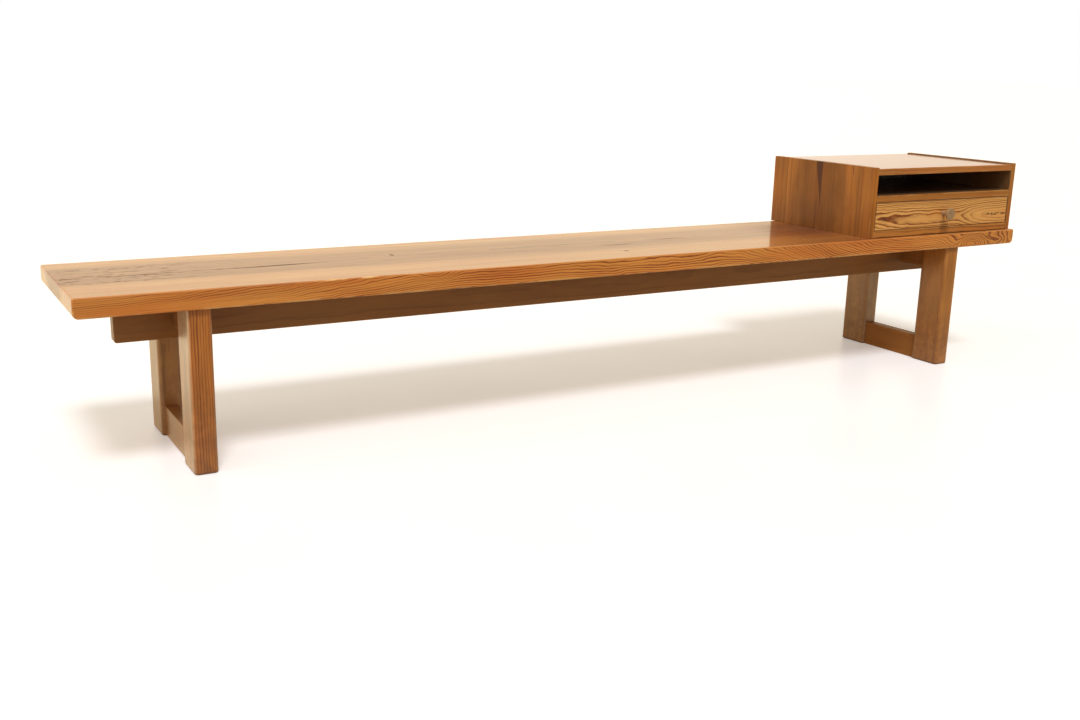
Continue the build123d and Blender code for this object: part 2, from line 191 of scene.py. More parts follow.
def blend(factor, first, second, mode="MIX"):
    """Mixes two colours by a factor. At least one of the three is a wire."""
    maker = next(item for item in (factor, first, second) if isinstance(item, Wire))
    settings = {"data_type": "RGBA", "blend_type": mode}
    return maker.node("ShaderNodeMix", settings, {0: factor, 6: first, 7: second}, 2)


def grey(shade):
    """A grey of the given strength, to multiply a colour by."""
    return shade.node("ShaderNodeCombineColor", {}, {0: shade, 1: shade, 2: shade})


print("a mid grey is", round(paint(128, 128, 128)[0], 3), "of full light")

# %% [markdown]
# ## The room
#
# The bench stands in a white room. The room could be built from walls and area lamps, but each lamp
# would show as a hard box in the lacquer, and a near lamp would light one end of so long a bench more
# than the other. So the room is the world, whose light depends on direction alone: warm and soft,
# brighter from the ceiling, from the open side in front, and from a window off the left-hand end.
#
# Different rays may see different rooms. The camera sees plain white. Lacquer and metal mirror amber
# walls, paler low down and brightest behind the bench. All other rays carry the light itself.

# %% The light of the room
warm_white = (1.0, 0.91, 0.79, 1)
to_open_side = (-0.74, -0.67, 0.05)
to_window = (-0.98, 0.10, 0.15)

world = bpy.data.worlds.new("white room")
sky = empty_tree(world)
way = sky.node("ShaderNodeTexCoord", {}, {}, "Generated")
ceiling = rise(way.part(2), 0.0, 0.8, 0.12, 0.30)
open_side = rise(way.vector("DOT_PRODUCT", to_open_side, output=1), -0.1, 0.9, 0.0, 0.72)
window = rise(way.vector("DOT_PRODUCT", to_window, output=1), 0.70, 0.95, 0.0, 0.52)
lit = {"Color": warm_white, "Strength": ceiling + open_side + window}
room_light = sky.node("ShaderNodeBackground", {}, lit)
print("nodes in the room's light:", len(world.node_tree.nodes))

# %% The walls that lacquer and metal mirror
amber_white = (1.0, 0.81, 0.53, 1)
pale_white = (1.0, 0.88, 0.76, 1)

low_wall = rise(way.part(2), 0.085, 0.125, 1.0, 0.0)
wall_colour = blend(low_wall, amber_white, pale_white)
back_wall = rise(way.part(1), -0.6, 0.3, 0.25, 1.03)
right_wall = rise(way.part(0), 0.1, 0.8, 1.03, 0.96)
low_glow = low_wall * rise(way.part(0), 0.60, 0.80, 0.28, 0.04) + 1
walls = {"Color": wall_colour, "Strength": back_wall * right_wall * low_glow}
mirrored_room = sky.node("ShaderNodeBackground", {}, walls)
print("nodes with the walls:", len(world.node_tree.nodes))

# %% Which ray sees which room
backdrop = sky.node("ShaderNodeBackground", {}, {"Color": (1, 1, 1, 1), "Strength": 1.0})
ray = sky.node("ShaderNodeLightPath", {}, {}, "Is Camera Ray")
shiny = ray.math("MAXIMUM", ray.beside("Is Glossy Ray"), ray.beside("Is Transmission Ray"))
unseen = sky.node("ShaderNodeMixShader", {}, {0: shiny, 1: room_light, 2: mirrored_room})
seen = sky.node("ShaderNodeMixShader", {}, {0: ray, 1: unseen, 2: backdrop})
sky.node("ShaderNodeOutputWorld", {}, {"Surface": seen})
bpy.context.scene.world = world
print("nodes in the whole world:", len(world.node_tree.nodes))

# %% [markdown]
# ## The floor
#
# The floor is smooth pale vinyl that runs on into the backdrop. A curved studio sweep would do, but a
# plane so wide that its edge lies beyond sight is simpler, and looks the same from all round. It has
# three looks, as the room has. The camera sees vinyl with a faint glow, which stays pale beside the
# bench and still takes its shadow. Lacquer mirrors an amber floor that darkens towards the front. All
# other light meets a dim one, so that little of it is thrown back up under the seat.

# %% Floor plane
floor_half = 60.0
corners = [(-1, -1), (1, -1), (1, 1), (-1, 1)]
floor_mesh = bpy.data.meshes.new("floor")
floor_mesh.from_pydata([(x * floor_half, y * floor_half, 0) for x, y in corners], [], [(0, 1, 2, 3)])
floor = bpy.data.objects.new("floor", floor_mesh)
bpy.context.scene.collection.objects.link(floor)
print("floor", floor_half * 2, "m wide")

# %% Vinyl, its mirror image and its dim side
floor_finish = bpy.data.materials.new("pale floor")
ground = empty_tree(floor_finish)
spread = ground.node("ShaderNodeTexCoord", {}, {}, "Object")
mottle = ground.node("ShaderNodeTexNoise", {}, {"Vector": spread, "Scale": 3.0, "Detail": 4.0})
vinyl = {
    "Base Color": blend(mottle, paint(243, 242, 241), paint(248, 248, 247)),
    "Roughness": rise(mottle, 0.3, 0.7, 0.30, 0.38), "Specular IOR Level": 0.35,
    "Emission Color": (1, 0.97, 0.93, 1), "Emission Strength": 0.27,
}
lit_floor = ground.node("ShaderNodeBsdfPrincipled", {}, vinyl)

behind = rise(spread.part(1), -0.9, -0.1, 0.15, 1.0)
amber_vinyl = {
    "Base Color": blend(behind, paint(90, 80, 64), paint(238, 222, 188)),
    "Roughness": 1.0, "Specular IOR Level": 0.0,
    "Emission Color": blend(behind, (0, 0, 0, 1), amber_white), "Emission Strength": 0.30,
}
mirrored_floor = ground.node("ShaderNodeBsdfPrincipled", {}, amber_vinyl)
dim_floor = ground.node("ShaderNodeBsdfDiffuse", {}, {"Color": paint(182, 176, 166)})

floor_ray = ground.node("ShaderNodeLightPath", {}, {}, "Is Camera Ray")
floor_shiny = floor_ray.beside("Is Glossy Ray")
unseen_floor = ground.node("ShaderNodeMixShader", {}, {0: floor_shiny, 1: dim_floor, 2: mirrored_floor})
floor_shader = ground.node("ShaderNodeMixShader", {}, {0: floor_ray, 1: unseen_floor, 2: lit_floor})
ground.node("ShaderNodeOutputMaterial", {}, {"Surface": floor_shader})
floor_mesh.materials.append(floor_finish)
print("nodes in the floor:", len(floor_finish.node_tree.nodes))

# %% [markdown]
# ## The lamp
#
# The room alone gives hardly any shadow. One broad lamp in front and above draws the soft one below the
# plank. It is a sun lamp, because that is as bright at one end of the bench as at the other. Its angle
# makes it look wide in the sky, so the shadow's edge is soft.

# %% Lamp
lamp_data = bpy.data.lights.new("broad far lamp", "SUN")
lamp_data.angle = math.radians(14)
lamp_data.energy = 1.75
lamp_data.color = (0.98, 0.99, 1.06)
lamp = bpy.data.objects.new("broad far lamp", lamp_data)
lamp_way = Vector((-0.20, -0.60, 1.0)).normalized()
lamp.rotation_euler = lamp_way.to_track_quat("Z", "Y").to_euler()
bpy.context.scene.collection.objects.link(lamp)
print("lamp from", [round(part, 2) for part in lamp_way])

# %% [markdown]
# ## Wood, sawn from a log
#
# A flat wood texture looks painted on, because its lines don't turn the corner. Here each board is cut
# from a log of its own. A log has a grain direction and a pith line, and the growth rings are rounds
# about that line. Whatever face a saw opens, its figure follows: stripes where the rings stand
# upright, flames where the face only grazes them, arcs on the ends. Slow drift of the pith and small
# waves in the rings give the flames their shape.


# %% Coordinates of a log
AXES = {"X": (0, 1, 2), "Y": (1, 0, 2), "Z": (2, 0, 1)}
LOG_SPACING = 11.3
ALL_ACROSS = 30.0


def log_place(spot, grain, seed):
    """The point in the log's own axes, with the grain first, and noise room of its own."""
    ways = [spot.part(index) for index in AXES[grain]]
    along = ways[0] + seed * LOG_SPACING
    return spot.node("ShaderNodeCombineXYZ", {}, {0: along, 1: ways[1], 2: ways[2]})


def noise(place, along, across, detail=2.0, roughness=0.5, output=0):
    """Noise from 0 to 1 in blots about as long and as wide as said, in metres."""
    squeezed = place.vector("MULTIPLY", (1 / along, 1 / across, 1 / across))
    sockets = {"Vector": squeezed, "Scale": 1.0, "Detail": detail, "Roughness": roughness}
    return place.node("ShaderNodeTexNoise", {}, sockets, output)


def pushed(place, along, across, reach):
    """Moves the point across the grain by smooth noise, by up to about half of reach."""
    push = noise(place, along, across, output=1).vector("SUBTRACT", (0.5, 0.5, 0.5))
    return place.vector("ADD", push.vector("MULTIPLY", (0, reach, reach)))


print("logs lie", LOG_SPACING, "m apart in the noise, so no two boards share a figure")


# %% Growth rings
LATE_WOOD = [(0.0, 0.0), (0.38, 0.04), (0.68, 0.40), (0.87, 1.0), (0.96, 0.85), (1.0, 0.0)]


def rings(place, pith, first_ring, tightening):
    """How far away the pith is, and how many rings lie between. Rings grow thinner outwards."""
    out = place.vector("SUBTRACT", (0, *pith)).vector("MULTIPLY", (0, 1, 1))
    radius = out.vector("LENGTH", output=1)
    return radius, radius / first_ring + radius * radius * tightening


def late_wood(count, seed):
    """How dark one year is: pale early wood, then a dark line that ends sharply."""
    year = count.math("FRACT", count)
    line = count.node("ShaderNodeValToRGB", {"stops": LATE_WOOD}, {0: year})
    whole_year = count.math("FLOOR", count) + seed
    luck = count.node("ShaderNodeTexWhiteNoise", {"noise_dimensions": "1D"}, {"W": whole_year})
    return line * (luck * 0.55 + 0.45)


darkest = max(LATE_WOOD, key=lambda stop: stop[1])[0]
print("a year's wood is darkest", darkest, "of the way through")


# %% Arrises and end grain
def arrises(spot, node, reach=0.005):
    """One along the arrises of a piece, easing to nothing within reach of them."""
    low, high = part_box(node)
    gaps = []
    for index in range(3):
        value = spot.part(index)
        gaps.append(value.math("MINIMUM", value - low[index], high[index] - value))
    small = spot.math("MINIMUM", gaps[0], gaps[1])
    large = spot.math("MAXIMUM", gaps[0], gaps[1])
    second = spot.math("MAXIMUM", small, spot.math("MINIMUM", large, gaps[2]))
    return rise(second, 0.0, reach, 1.0, 0.0)


def sawn_across(spot, grain):
    """One where the surface faces along the grain."""
    facing = spot.node("ShaderNodeTexCoord", {}, {}, "Normal").part(AXES[grain][0])
    return rise(facing.math("ABSOLUTE", facing), 0.6, 0.95)


def value_at(setting, spot):
    """A setting is one number for the whole piece, or a function of the place on it."""
    return setting(spot) if callable(setting) else setting


print("a setting that is a plain number stays as it is:", value_at(0.3, None))

# %% [markdown]
# ## One recipe for every board
#
# All the boards are the same softwood, so one recipe makes them all, and a board names only what is
# special about it. The wood comes in layers, as it came about: early and late wood, the tinted heart,
# paler layers and stains, uneven tone and warmth, and darker end grain. The same layers carry painted
# shade inside the chest, in the gap round the drawer front, at the feet of the posts and over the
# seat's top, and painted light on one post's left face. Clear lacquer lies over that as the shader's
# coat. Hands have rubbed it thin and pale on the arrises, and on the seat that pale is partly painted
# sheen. A colour map painted for each board would hold no less work, and would show seams where its
# faces meet.


# %% What a board is, unless told otherwise
class Board:
    """One board's log, wood, wear and lacquer. Lengths are in metres, strengths mostly from 0 to 1."""

    tightening = 0.0  # how quickly rings get thinner outwards
    drift = 0.02  # how far the pith wanders off a straight line
    drift_length = 0.9
    swirl = 0.004  # how far small waves push the rings
    swirl_size = (0.20, 0.05)
    contrast = 0.8  # how dark the late wood is
    clear = 0.5  # what is left of that where the lines are weakest
    bands = 0.35  # runs of light and dark years
    fibres = 0.6  # fine streaks along the grain
    fibre_width = 0.0035
    heart = 0.0  # how much the heartwood is tinted
    heart_radius = 0.06
    heart_colour = paint(150, 110, 80)
    blots = 0.08  # wide uneven patches
    blot_size = (0.45, 0.12)
    warmth = 0.7  # redder patches
    end_dark = 0.35  # how much darker the end grain is
    gloss = 0.42  # roughness of the wood under its lacquer
    shine = 0.3  # how much the wood itself mirrors
    coat = 0.6  # how much lacquer there is
    coat_roughness = 0.12
    rubbed = 0.3  # how pale the arrises are rubbed, as a number or a function of the place; on the seat partly painted sheen
    rubbed_colour = paint(226, 176, 104)
    thin = 0.4  # how much lacquer the arrises have lost, as a number or a function of the place

    # The next six are nothing, or a function of the place on the piece.
    bend = None  # moves the log
    curl = None  # adds rings
    faint = None  # hides ring lines
    pale = None  # shows a paler layer under a face; on the left front post this is painted light
    stain = None  # shows stains and dark marks, and on some boards painted shade
    dull = None  # takes lacquer away
    # On some boards the pale colour serves as painted light, and the stain colour as painted shade.
    pale_colour = paint(226, 202, 164)
    stain_colour = paint(64, 34, 15)

    def __init__(self, **settings):
        for name, value in settings.items():
            setattr(self, name, value)


print("settings of a board:", len([name for name in vars(Board) if not name.startswith("_")]))


# %% Ring lines and clean wood
YEAR_STEP = 0.11


def ring_lines(board, spot, place):
    """How far the pith is, how many rings lie between, and how dark the wood of that year is."""
    bent = pushed(place, board.drift_length, ALL_ACROSS, board.drift)
    bent = pushed(bent, *board.swirl_size, board.swirl)
    if board.bend:
        bent = bent.vector("ADD", board.bend(spot))
    radius, count = rings(bent, board.pith, board.ring, board.tightening)
    if board.curl:
        count = count + board.curl(spot)
    fine_wave = noise(place, 0.05, 0.010, 3.0) - 0.5
    count = count + fine_wave * 0.55
    line = late_wood(count, board.seed)
    if board.faint:
        line = line * board.faint(spot)
    return radius, count, line


def clean_wood(board, place, radius, count, line, fibre, blot):
    """Early and late wood, with runs of light and dark years, fibres and a tinted heart."""
    year_place = count.node("ShaderNodeCombineXYZ", {}, {0: count * YEAR_STEP + board.seed})
    band = (noise(year_place, 1.0, 1.0) - 0.5) * 2 * board.bands
    clarity = rise(noise(place, 0.18, 0.02), 0.35, 0.60, board.clear, 1.0)
    depth = line * clarity * board.contrast + band + (fibre - 0.5) * board.fibres
    tone = blend(rise(depth, -0.35, 1.25), board.early, board.late)
    if board.heart:
        ragged = radius + (blot - 0.5) * 0.05 + (fibre - 0.5) * 0.03
        soft_edge = 0.025
        heart_low = board.heart_radius - soft_edge
        heart_high = board.heart_radius + soft_edge
        inside = rise(ragged, heart_low, heart_high, board.heart, 0.0)
        tone = blend(inside, tone, board.heart_colour, "MULTIPLY")
    return tone


print("a run of light or dark years lasts about", round(1 / YEAR_STEP), "rings")


# %% Stains, wear and lacquer
def aged_wood(board, spot, place, tone, hair, blot):
    """Lays paler layers, stains and painted shade, uneven tone and warmth, and darker end grain over
    clean wood. On one post the paler layer is painted light.
    """
    if board.pale:
        tone = blend(board.pale(spot), tone, board.pale_colour)
    if board.stain:
        tone = blend(board.stain(spot), tone, board.stain_colour)
    shade = rise(hair * 0.4 + blot * 0.6, 0.25, 0.75, 1 - board.blots, 1 + board.blots)
    tone = blend(1.0, tone, grey(shade), "MULTIPLY")
    redder = rise(noise(place, 0.30, 0.05, 3.0), 0.40, 0.65, 0.0, board.warmth)
    tone = blend(redder, tone, paint(246, 212, 170), "MULTIPLY")
    return blend(sawn_across(spot, board.grain) * board.end_dark, tone, board.late)


def worn(board, spot, place, node, tone, rough):
    """Rubs the arrises pale, on the seat partly as painted sheen, and their lacquer thin, and dulls it
    elsewhere too if told to.
    """
    lacquer = board.coat
    if board.coat:
        arris = arrises(spot, node)
        patches = rise(noise(place, 0.05, 0.012, 3.0), 0.42, 0.62)
        tone = blend(arris * patches * value_at(board.rubbed, spot), tone, board.rubbed_colour)
        rough = rough + arris * 0.15
        lacquer = board.coat - arris * value_at(board.thin, spot) * board.coat
    if board.dull:
        dullness = board.dull(spot)
        lacquer = lacquer - dullness * board.coat
        rough = rough + rise(dullness, 0.35, 0.85, 0.0, 0.4)
    return tone, rough, lacquer


print("a plain board has", Board.coat, "of a coat, and its arrises", round(1 - Board.thin, 2), "of that")


# %% The whole recipe
def dress(node, material):
    """Puts a finish on a piece of the packed model."""
    parts_of[node].material_slots[0].material = material
    print(node, "wears", material.name)


def wood(node, name, grain, seed, pith, ring, early, late, **more):
    """Dresses a piece in a board from a log of its own, with its grain along X, Y or Z."""
    board = Board(grain=grain, seed=seed, pith=pith, ring=ring, early=early, late=late, **more)
    material = bpy.data.materials.new(name)
    spot = empty_tree(material).node("ShaderNodeTexCoord", {}, {}, "Object")
    place = log_place(spot, grain, seed)
    fibre = noise(place, 0.22, board.fibre_width, 3.0, 0.6)
    hair = noise(place, 0.03, 0.0007)
    blot = noise(place, *board.blot_size)

    radius, count, line = ring_lines(board, spot, place)
    tone = clean_wood(board, place, radius, count, line, fibre, blot)
    tone = aged_wood(board, spot, place, tone, hair, blot)
    rough = rise(fibre, 0.2, 0.8, board.gloss - 0.05, board.gloss + 0.06)
    tone, rough, lacquer = worn(board, spot, place, node, tone, rough)
    height = line * 0.4 + hair * 0.6
    bump = height.node("ShaderNodeBump", {}, {"Strength": 0.12, "Distance": 0.0004, "Height": height})
    finish = {
        "Base Color": tone, "Roughness": rough, "Normal": bump, "Specular IOR Level": board.shine,
        "Coat Weight": lacquer, "Coat Roughness": board.coat_roughness,
    }
    surface = height.node("ShaderNodeBsdfPrincipled", {}, finish)
    height.node("ShaderNodeOutputMaterial", {}, {"Surface": surface})
    dress(node, material)


print("pieces still to dress:", len(parts_of))

# %% [markdown]
# ## The seat plank
#
# One wide plank, sawn through the heart of the log. Its middle is heartwood, a shade greyer, with paler
# bands along both edges. The rings are wide near the heart and fine further out, so the front edge
# shows many thin flowing lines, and they swirl where a branch once grew near the right-hand end. A
# straight log would give that edge plain stripes, so rings are added there place by place, which bends
# its lines and leaves the top alone.

# %% The plank's edges
seat_low, seat_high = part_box("seat_plank")
seat_front = seat_low.y
seat_top = seat_high.z
seat_mid_height = (seat_low.z + seat_top) / 2
print("front edge from", round(seat_low.z, 3), "to", round(seat_top, 3), "m above the floor")


# %% The flow of lines on the front edge
def seat_curl(spot):
    """Rings added at the front edge, so its lines climb, fall and curl round two branches."""
    along = spot.part(0)
    above = spot.part(2) - seat_mid_height
    climbing = rise(along, -1.25, -0.40, 0.0, 15.0)
    falling = rise(along, 0.20, 0.85, 0.0, -27.0)
    steep = rise(along, 0.86, 1.05, 0.0, -7.0)
    wider = rise(along, -1.25, -0.55, -90.0, 0.0)
    wider = wider + rise(along, -0.60, 0.45, 0.0, 50.0) + rise(along, 0.92, 1.00, 0.0, 100.0)
    wider = wider + rise(along, 1.08, 1.13, 0.0, 20.0)
    small_branch = near(spot, (-0.507, seat_front, 0.350), (0.060, 0.08, 0.022)) * -3
    branch = near(spot, (1.040, seat_front, 0.326), (0.072, 0.09, 0.032)) * 5.5
    knotty = (noise(spot, 0.07, 0.025, 1.0) - 0.5) * rise(along, 1.06, 1.12, 0.0, 3.0)
    end_turn = rise(along, 1.08, 1.25, 0.0, 5.0)
    at_front = rise(spot.part(1), seat_front + 0.015, seat_front + 0.09, 1.0, 0.0)
    added = climbing + falling + steep + above * wider + small_branch + branch + knotty + end_turn
    return added * at_front


def seat_faint(spot):
    """Where rings fade on the front edge: at the left end, low down beside it, high up on the right."""
    along = spot.part(0)
    up = spot.part(2)
    right_half = rise(along, 0.25, 0.50) * rise(along, 0.90, 0.99, 1.0, 0.0)
    upper = rise(up, 0.328, 0.348) * right_half
    lower = rise(up, 0.325, 0.345, 1.0, 0.0) * rise(along, -0.95, -0.65, 1.0, 0.0)
    left_end = rise(along, -0.95, -0.60, 0.15, 0.0)
    below_top = rise(up, seat_top - 0.0005, seat_top, 1.0, 0.0)
    return 1 - (upper * 0.35 + lower * 0.45 + left_end) * below_top


print("rings are added from y =", round(seat_front, 3), "to", round(seat_front + 0.09, 3))


# %% Where the plank is rubbed
def seat_wear_and_painted_sheen(spot):
    """The lower arris is pale in rubbed patches, partly as a painted reflection of the bright floor. The
    upper one is whole, but for one stretch with a painted glint.
    """
    # Painted highlight: a glint along part of the upper front arris.
    painted_glint = near(spot, (-0.66, seat_front, seat_top), (0.16, 0.02, 0.02)) * 2.0
    return rise(spot.part(2), 0.330, 0.345, 0.9, 0.10) + painted_glint


def seat_thin(spot):
    """The lacquer has thinned on the lower arris only."""
    return rise(spot.part(2), 0.325, 0.340, 0.9, 0.0)


print("the plank is", round(seat_top - seat_low.z, 3), "m thick, and rubbed on its lower half")


# %% The plank's heart, its crack, its marks and its painted shade
heart_middle = 0.02
heart_half = 0.09


def heartwood(spot):
    """One along the middle of the plank, where the heart of the log lies."""
    across = spot.part(1)
    off_middle = across.math("ABSOLUTE", across - heart_middle)
    return rise(off_middle, heart_half - 0.02, heart_half + 0.02, 1.0, 0.0)


def seat_marks(spot):
    """Two dark specks and three long marks in the top."""
    specks = near(spot, (-0.517, 0.037, seat_top), (0.0055, 0.011, 0.02)) * 4.0
    specks = specks + near(spot, (-0.005, -0.103, seat_top), (0.010, 0.010, 0.02))
    long_marks = near(spot, (-0.782, 0.002, seat_top), (0.12, 0.010, 0.02))
    long_marks = long_marks + near(spot, (0.030, -0.020, seat_top), (0.09, 0.008, 0.02))
    long_marks = long_marks + near(spot, (0.200, 0.0175, seat_top), (0.08, 0.008, 0.02))
    return specks * 1.5 + long_marks * 0.6


def seat_stain(spot):
    """A thin broken crack along the heart, streaks and bruises beside it, and painted shade over the top,
    light at the left and deeper from just left of the chest.
    """
    along = spot.part(0)
    across = spot.part(1)
    wander = (noise(spot, 0.6, ALL_ACROSS) - 0.5) * 0.05
    crack = stripe(across - wander, 0.003, 0.0075)
    broken = rise(noise(spot, 0.10, 0.03, 3.0), 0.40, 0.60, 0.15, 0.8)
    streaks = rise(noise(spot, 0.50, 0.010, 3.0, 0.6), 0.50, 0.70) * heartwood(spot)
    bruises = rise(noise(spot, 0.018, 0.010, 3.0), 0.50, 0.66) * heartwood(spot)
    bruises = bruises * rise(along, -1.08, -0.70, 0.45, 0.03)
    on_top = rise(spot.part(2), seat_top - 0.0005, seat_top - 0.0001)
    # Painted shade over the top: a little at the left, much more towards the chest, where less light
    # falls.
    painted_top_shade = rise(along, 0.42, 0.62, 0.06, 0.44)
    marks = crack * broken * 0.27 + streaks * 0.30 + seat_marks(spot)
    return along.math("MINIMUM", marks + bruises + painted_top_shade * on_top, 0.85)


def seat_dull(spot):
    """The lacquer is duller over the resinous heart, has gone over cracks and dents, and is duller where
    the top is painted darker.
    """
    return spot.math("MINIMUM", seat_stain(spot) * 0.8 + heartwood(spot) * 0.13, 0.85)


print("the plank is", round(seat_high.y - seat_front, 3), "m deep, and its heartwood", 2 * heart_half)

# %% The plank's wood
wood(
    "seat_plank", "lacquered pine, seat", "X", 1, pith=(0.027, 0.415), ring=0.0042, tightening=760,
    early=paint(226, 148, 62), late=paint(134, 62, 12), drift=0.018, drift_length=0.8,
    swirl=0.006, swirl_size=(0.10, 0.04), curl=seat_curl, faint=seat_faint,
    contrast=1.7, clear=0.65, bands=0.3, fibres=0.9, end_dark=0.05,
    heart=0.8, heart_radius=0.114, heart_colour=paint(174, 140, 124),
    # On the seat the pale arris colour is partly painted sheen: a painted reflection below and a painted
    # glint above.
    rubbed=seat_wear_and_painted_sheen, rubbed_colour=paint(236, 184, 110), thin=seat_thin,
    # The stain colour also paints the shade over the top.
    stain=seat_stain, stain_colour=paint(70, 50, 44), dull=seat_dull,
    gloss=0.36, shine=0.5, coat=1.0, coat_roughness=0.09,
)

# %% [markdown]
# ## The leg frames and the beam
#
# Two posts, a rail at the floor and a rail under the seat make each leg frame. Each piece is rift-sawn:
# its log lay far to one side, so the rings cross it as straight stripes. Stripes could be painted by one
# wave texture, but with a log for each piece no two of them repeat. The posts grow darker towards the
# floor, in patches, with a painted shadow line where they meet it. The left face of the left front post
# is painted paler, most of all high up under the plank, as painted light from the left, and the front
# face of the right back post is paler too.

# %% Feet, their painted shadow line, and paler faces
log_distance = 0.13


def darker_foot_and_contact_shade(spot):
    """Darker towards the floor, in patches, and a painted shadow line right at it."""
    up = spot.part(2)
    patches = rise(noise(spot, 0.02, 0.02, 3.0), 0.3, 0.7, 0.4, 1.0)
    # Painted shade: a dark line where the foot meets the floor.
    contact_shade = rise(up, 0.002, 0.006, 0.7, 0.0)
    return spot.math("MINIMUM", rise(up, 0.0, 0.26, 0.60, 0.0) * patches + contact_shade, 0.9)


def pale_face_layer(axis, face, amount, lowest):
    """A paler layer just under one face of a post, fuller from some height up."""

    def mask(spot):
        skin = rise(spot.part(axis), face + 0.001, face + 0.004, amount, 0.0)
        return skin * rise(spot.part(2), lowest, lowest + 0.06, 0.5, 1.0)

    return mask


print("the posts' piths lie", log_distance, "m off their right or back faces")

# %% Posts
post_late = paint(100, 38, 8)
post_early = {
    "left_front_post": paint(194, 120, 46),
    "left_back_post": paint(184, 130, 64),
    "right_front_post": paint(186, 124, 54),
    "right_back_post": paint(190, 138, 74),
}
post_pale_and_painted_light = {
    # Painted light: the left face of the left front post is paler, most of all high up under the plank,
    # as if lit from the left.
    "left_front_post": pale_face_layer(0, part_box("left_front_post")[0].x, 0.6, 0.19),
    "right_back_post": pale_face_layer(1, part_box("right_back_post")[0].y, 0.40, -1.0),
}
post_seeds = {"left_front_post": 2, "left_back_post": 3, "right_front_post": 6, "right_back_post": 7}
for name, seed in post_seeds.items():
    at_left = name.startswith("left")
    low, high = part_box(name)
    middle = (low + high) / 2
    beside = (high.x + log_distance, middle.y)
    further_back = (middle.x, high.y + log_distance)
    wood(
        name, f"lacquered pine, {name}", "Z", seed, pith=beside if "front" in name else further_back,
        ring=0.0050 if at_left else 0.0090, early=post_early[name], late=post_late,
        drift=0.004, swirl=0.006, swirl_size=(0.12, 0.02), bands=0.35,
        contrast=1.4 if name == "left_front_post" else 0.5, blot_size=(0.10, 0.03), blots=0.18,
        warmth=0.3, rubbed=0.12, gloss=0.38, coat=1.0 if at_left else 0.7, coat_roughness=0.30,
        # This colour paints the darker feet and the painted shadow line at the floor.
        stain=darker_foot_and_contact_shade, stain_colour=paint(92, 42, 8), pale=post_pale_and_painted_light.get(name),
    )

# %% Rails and beam
rail_seeds = {"left_bottom_rail": 4, "left_top_rail": 5, "right_bottom_rail": 8, "right_top_rail": 9}
for name, seed in rail_seeds.items():
    at_left = name.startswith("left")
    low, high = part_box(name)
    wood(
        name, f"lacquered pine, {name}", "Y", seed, pith=(low.x - 0.09, (low.z + high.z) / 2),
        ring=0.0044, early=paint(160, 106, 53), late=paint(110, 66, 28),
        drift=0.006, swirl=0.003, contrast=0.6, bands=0.25, blot_size=(0.12, 0.03), blots=0.14,
        warmth=0.2, rubbed=0.12, gloss=0.40, shine=0.3 if at_left else 0.1,
        coat=0.8 if at_left else 0.05, coat_roughness=0.2,
    )

low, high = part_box("spine_beam")
wood(
    "spine_beam", "lacquered pine, beam", "X", 10, pith=(low.y - 0.11, (low.z + high.z) / 2), ring=0.004,
    early=paint(160, 110, 56), late=paint(110, 74, 38), drift=0.02, swirl=0.005,
    contrast=0.5, bands=0.3, blot_size=(0.25, 0.04), blots=0.14, warmth=0.2, rubbed=0.15,
    coat=0.4, coat_roughness=0.22,
)

# %% [markdown]
# ## The chest
#
# The chest's boards are a darker, finer pine. The sides have upright grain, and a tapering streak of
# resin runs down the left one from its upper edge. Noise would put such a streak anywhere, so it is
# drawn as a mask: a narrow stripe whose half width grows towards the top. The other boards lie with
# their grain along the bench. What the open shelf shows of the inside is painted darker and greyer, as
# painted shade.

# %% The streak on the chest's left side
chest_early = paint(184, 119, 47)
chest_late = paint(90, 51, 18)
side_foot, side_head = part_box("chest_side_left")
streak_top_y = 0.0225
streak_tip_z = 0.395
streak_half = 0.0135


def outside(spot):
    """One on the outer half of the left side board, and nothing on its inner face."""
    return rise(spot.part(0), side_head.x - 0.006, side_head.x - 0.002, 1.0, 0.0)


def side_streak(across, up):
    """Resin, wide at the top and tapering to nothing as it comes forwards on its way down."""
    flipped = up.node("ShaderNodeCombineXYZ", {}, {0: up, 1: across})
    ragged = (noise(flipped, 0.02, 0.002) - 0.5) * 0.003
    lean_back = (side_head.z - up) * 0.10
    off_middle = across.math("ABSOLUTE", across - streak_top_y + lean_back) + ragged
    half = rise(up, streak_tip_z, side_head.z + 0.03, 0.0, streak_half)
    return rise(off_middle - half, -0.002, 0.001, 0.9, 0.0)


def side_stain(spot):
    """The resin streak, the thin lines beside it, and wood that grows darker towards the foot."""
    across = spot.part(1)
    up = spot.part(2)
    below = rise(up, streak_tip_z - 0.01, streak_tip_z + 0.06, 1.0, 0.0)
    tails = (stripe(across, 0.026, 0.0016) + stripe(across, 0.001, 0.0014)) * below * 0.6
    full_length = stripe(across, 0.143, 0.0014) * 0.6 + stripe(across, -0.132, 0.0016) * 0.35
    short = stripe(across + (up - side_head.z) * -0.2, -0.097, 0.002)
    short = short * rise(up, side_head.z - 0.028, side_head.z - 0.018) * 0.6
    darker_low_down = rise(up, side_foot.z, side_foot.z + 0.12, 0.36, 0.0)
    marks = side_streak(across, up) + tails + full_length + short + darker_low_down
    return up.math("MINIMUM", marks, 0.9) * outside(spot)


print("the streak runs from z =", round(side_head.z, 3), "down to", streak_tip_z)

# %% Chest sides
wood(
    "chest_side_left", "lacquered pine, chest left side", "Z", 40, pith=(0.640, 0.02), ring=0.0030,
    early=paint(190, 122, 48), late=chest_late, drift=0.006, drift_length=0.5, swirl=0.002,
    contrast=0.35, bands=0.7, fibres=1.4, fibre_width=0.008, heart=0.8, heart_radius=0.09,
    heart_colour=paint(196, 190, 170), blot_size=(0.08, 0.04), blots=0.14, warmth=0.4, rubbed=0.1,
    shine=0.2, coat=0.25, stain=side_stain, stain_colour=paint(76, 34, 12),
)


